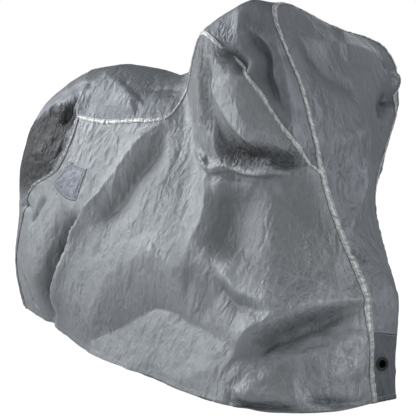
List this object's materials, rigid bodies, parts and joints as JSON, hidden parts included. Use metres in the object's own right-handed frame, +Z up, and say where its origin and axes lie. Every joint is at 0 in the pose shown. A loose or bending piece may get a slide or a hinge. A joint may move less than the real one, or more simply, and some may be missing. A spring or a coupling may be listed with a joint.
{
  "type": "motorcycle cover",
  "caption": "Fitted weather cover for a motorcycle: light side panels, darker top and front panels, taped seams, a sewn-on patch and eyelets in the front band.",
  "frame": {"origin": "middle of the cover's box, level with the lowest point of its hem", "axes": "+X to the front of the cover, +Z up, -Y is its right-hand side, which leans up and away from the viewer; the cover leans to +Y"},
  "size_m": [1.9412, 0.8836, 1.2078],
  "materials": {
    "light_cloth": "coated, slight sheen",
    "dark_cloth": "coated, slight sheen",
    "band_cloth": "coated, matte",
    "seam_tape": "silvery, crinkled",
    "black_plastic": "satin"
  },
  "bodies": {
    "root": {"rear_panel": "dark_cloth", "front_panel": "dark_cloth", "front_band": "band_cloth", "side_panel_right": "light_cloth", "side_panel_left": "light_cloth", "front_seam_tape": "seam_tape", "side_seam_tape_right": "seam_tape", "side_seam_tape_left": "seam_tape", "side_patch": "light_cloth", "eyelet_ring_right": "black_plastic", "eyelet_ring_left": "black_plastic"}
  },
  "joints": []
}
